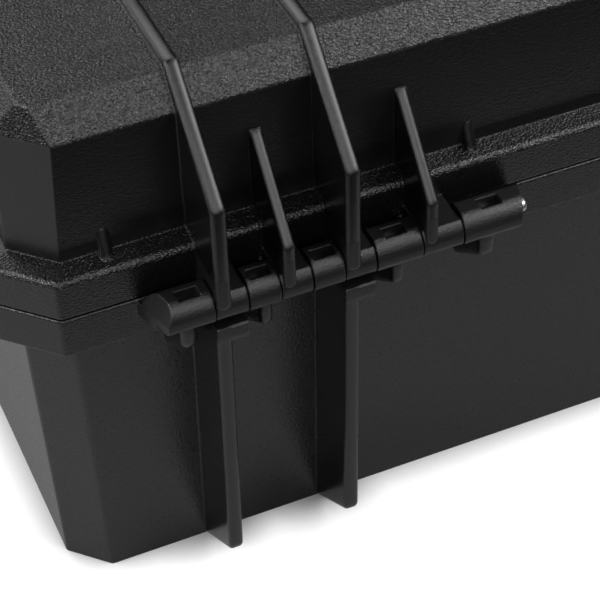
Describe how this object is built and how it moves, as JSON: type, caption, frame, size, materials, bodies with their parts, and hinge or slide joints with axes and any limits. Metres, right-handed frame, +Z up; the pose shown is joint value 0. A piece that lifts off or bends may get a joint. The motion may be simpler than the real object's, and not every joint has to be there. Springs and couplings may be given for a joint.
{
  "type": "flight case",
  "caption": "Moulded hard-shell flight case with cut corners, ribbed lid on a split rear hinge, over-centre latches, fold-down handle, pressure valve, padlock eyes and foam lining.",
  "frame": {"origin": "centre of the bounding box in plan, on the plane of the feet of the shell", "axes": "+X along the hinge line, +Y towards the hinge side, +Z up"},
  "size_m": [0.464, 0.3638, 0.1713],
  "materials": {
    "shell_plastic": "moulded, fine leather grain",
    "fitting_plastic": "moulded, satin",
    "valve_plastic": "semi-gloss",
    "seal_rubber": "matte",
    "grip_rubber": "matte, grooved",
    "pin_steel": "ground",
    "eyelet_steel": "pressed",
    "foam": "open-cell foam, charcoal"
  },
  "bodies": {
    "base": {"base_shell": "shell_plastic", "hinge_pin_left": "pin_steel", "hinge_pin_right": "pin_steel", "latch_pin_left": "pin_steel", "latch_pin_right": "pin_steel", "handle_pin_left": "pin_steel", "handle_pin_right": "pin_steel", "padlock_eyelets_base": "eyelet_steel", "valve_body": "fitting_plastic", "valve_cap": "valve_plastic", "valve_nut": "fitting_plastic", "valve_seal_ring": "seal_rubber", "base_foam_floor": "foam", "base_foam_wall": "foam"},
    "lid": {"lid_shell": "shell_plastic", "lid_seal": "seal_rubber", "lid_foam": "foam", "padlock_eyelets_lid": "eyelet_steel"},
    "latch_left": {"latch_left": "fitting_plastic"},
    "latch_right": {"latch_right": "fitting_plastic"},
    "handle": {"handle_frame": "fitting_plastic", "handle_grip": "grip_rubber"}
  },
  "joints": [
    {"name": "lid_hinge", "type": "hinge", "parent": "base", "child": "lid", "pos_m": [0, 0.176, 0.1105], "axis": [-1, 0, 0], "range_deg": [0, 92]},
    {"name": "latch_left_pivot", "type": "hinge", "parent": "base", "child": "latch_left", "pos_m": [0.16065, -0.1648, 0.0935], "axis": [1, 0, 0], "range_deg": [-155, 0]},
    {"name": "latch_right_pivot", "type": "hinge", "parent": "base", "child": "latch_right", "pos_m": [-0.16065, -0.1648, 0.0935], "axis": [1, 0, 0], "range_deg": [-155, 0]},
    {"name": "handle_pivot", "type": "hinge", "parent": "base", "child": "handle", "pos_m": [0, -0.167, 0.0915], "axis": [-1, 0, 0], "range_deg": [0, 110]}
  ]
}
